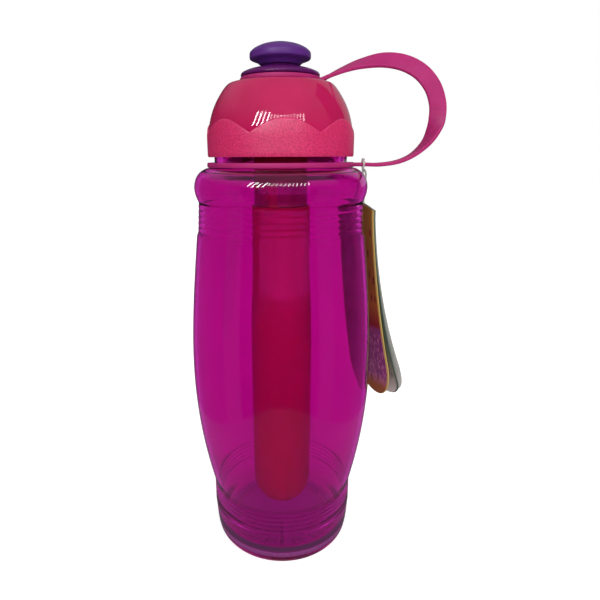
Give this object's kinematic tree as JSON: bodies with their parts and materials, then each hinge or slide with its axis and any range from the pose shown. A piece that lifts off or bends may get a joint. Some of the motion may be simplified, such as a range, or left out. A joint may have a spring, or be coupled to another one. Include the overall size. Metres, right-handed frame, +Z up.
{
  "type": "freezable water bottle",
  "caption": "Ribbed translucent water bottle with a screw cap, push-pull spout, twisted carry strap, freezer stick held in the cap, and a swing tag on a loop.",
  "frame": {"origin": "centre of the bottle's flat underside, on the bottle's axis", "axes": "+Z up along the bottle's axis, +X towards the carry strap, -Y towards the front"},
  "size_m": [0.1177, 0.0884, 0.2409],
  "materials": {
    "body_plastic": "clear magenta copolyester, moulded gloss",
    "cap_plastic": "crimson, glossy dome over a fine matte skirt",
    "gasket_silicone": "clear silicone",
    "spout_gloss": "glossy dark red-purple",
    "spout_matte": "satin purple",
    "stick_plastic": "crimson, satin",
    "gel": "water-based freezer gel",
    "strap_elastomer": "soft pink elastomer, satin",
    "nylon": "clear nylon",
    "amber_card": "coated printed card",
    "teal_card": "coated printed card",
    "white_card": "plain white card"
  },
  "bodies": {
    "bottle": {"bottle_body": "body_plastic"},
    "seal": {"cap_gasket": "gasket_silicone"},
    "cap": {"cap_shell": "cap_plastic", "spout_base": "spout_gloss"},
    "valve": {"spout_valve": "spout_matte"},
    "stick": {"stick_tube": "stick_plastic", "stick_plug": "stick_plastic", "freezer_gel": "gel"},
    "strap": {"carry_strap": "strap_elastomer", "tag_loop": "nylon"},
    "tag": {"tag_front_leaf": "amber_card", "tag_middle_leaf": "teal_card", "tag_back_leaf": "white_card"}
  },
  "joints": [
    {"name": "cap_lift", "type": "slide", "parent": "bottle", "child": "seal", "axis": [0, 0, 1], "range_m": [0, 0.0063]},
    {"name": "cap_turn", "type": "hinge", "parent": "seal", "child": "cap", "pos_m": [0, 0, 0.21], "axis": [0, 0, 1], "range_deg": [0, 450]},
    {"name": "valve_pull", "type": "slide", "parent": "cap", "child": "valve", "axis": [0, 0, 1], "range_m": [0, 0.004]},
    {"name": "stick_twist", "type": "hinge", "parent": "cap", "child": "stick", "pos_m": [0, 0, 0.18], "axis": [0, 0, 1], "range_deg": [0, 70]},
    {"name": "strap_swivel", "type": "hinge", "parent": "seal", "child": "strap", "pos_m": [0, 0, 0.19], "axis": [0, 0, 1], "continuous": true},
    {"name": "tag_swing", "type": "hinge", "parent": "strap", "child": "tag", "pos_m": [0.0391, 0.0154, 0.1666], "axis": [0.5, -0.866, 0], "range_deg": [0, 8]}
  ],
  "couplings": [
    {"joint": "cap_lift", "follows": "cap_turn", "m_per_rad": 0.00079577}
  ]
}
